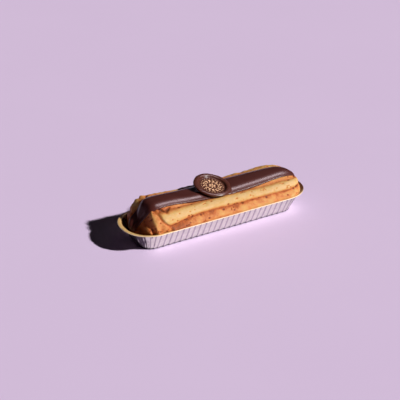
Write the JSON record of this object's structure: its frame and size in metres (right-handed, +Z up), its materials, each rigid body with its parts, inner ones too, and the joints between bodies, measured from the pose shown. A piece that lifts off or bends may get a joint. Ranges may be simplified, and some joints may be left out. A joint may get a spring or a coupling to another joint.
{
  "type": "chocolate eclair",
  "caption": "Choux eclair in a pleated foil tray, with a strip of glossy chocolate icing along its top and a round chocolate seal.",
  "frame": {"origin": "middle of the foil tray's footprint, at the height of the surface it stands on", "axes": "+X along the eclair, towards the end where the icing runs out in a tip; +Z up; -Y is the front, towards which the seal leans"},
  "size_m": [0.1512, 0.045, 0.0366],
  "materials": {
    "foil": "bright pressed foil, gold-lacquered on its inner face and rim",
    "choux": "dry baked choux pastry, pale gold on the ridges and browned in the creases",
    "icing": "glossy dark chocolate icing",
    "seal": "satin dark chocolate with a gold print in the recess"
  },
  "bodies": {
    "root": {"foil_tray": "foil", "choux": "choux", "icing": "icing", "seal": "seal"}
  },
  "joints": []
}
